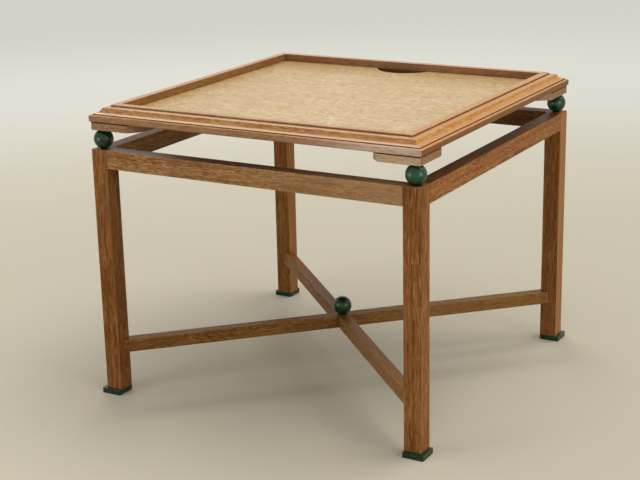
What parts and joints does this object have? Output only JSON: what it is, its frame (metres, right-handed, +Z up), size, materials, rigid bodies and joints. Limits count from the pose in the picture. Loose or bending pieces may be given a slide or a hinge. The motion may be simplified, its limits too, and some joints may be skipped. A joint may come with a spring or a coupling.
{
  "type": "games table",
  "caption": "Square games table on straight legs with diagonal stretchers, a moulded frame carried on painted balls, and a loose recessed panel that lifts out.",
  "frame": {"origin": "on the floor, under the centre of the table", "axes": "+Z up, -Y the front side, +X to the right when seen from the front"},
  "size_m": [0.915, 0.915, 0.75],
  "materials": {
    "oak_leg": "satin wax over limed grain",
    "oak_rail": "satin wax over limed grain",
    "oak_stretcher": "satin wax over limed grain",
    "oak_pad": "satin wax",
    "oak_moulding": "satin wax",
    "oak_panel": "satin, pale veneer",
    "green_paint": "satin paint",
    "birch_ply": "bare",
    "beech_dowel": "bare",
    "steel": "zinc plated",
    "baize": "felted"
  },
  "bodies": {
    "table": {"leg_front_left": "oak_leg", "leg_front_right": "oak_leg", "leg_back_right": "oak_leg", "leg_back_left": "oak_leg", "rail_front": "oak_rail", "rail_right": "oak_rail", "rail_back": "oak_rail", "rail_left": "oak_rail", "foot_plate_front_left": "green_paint", "foot_plate_front_right": "green_paint", "foot_plate_back_right": "green_paint", "foot_plate_back_left": "green_paint", "foot_plate_screws": "steel", "stretcher_lower": "oak_stretcher", "stretcher_upper": "oak_stretcher", "stretcher_dowels": "beech_dowel", "ball_front_left": "green_paint", "ball_front_right": "green_paint", "ball_back_right": "green_paint", "ball_back_left": "green_paint", "ball_studs": "steel", "ball_centre": "green_paint", "ball_centre_dowel": "beech_dowel", "corner_pad_front_left": "oak_pad", "corner_pad_front_right": "oak_pad", "corner_pad_back_right": "oak_pad", "corner_pad_back_left": "oak_pad", "corner_pad_screws": "steel", "frame_front": "oak_moulding", "frame_right": "oak_moulding", "frame_back": "oak_moulding", "frame_left": "oak_moulding", "mitre_keys": "beech_dowel", "bottom_board": "birch_ply", "bottom_board_screws": "steel"},
    "loose_panel": {"playing_panel": "oak_panel", "panel_baize": "baize"}
  },
  "joints": [
    {"name": "panel_lift", "type": "slide", "parent": "table", "child": "loose_panel", "axis": [0, 0, 1], "range_m": [0, 0.15]}
  ]
}
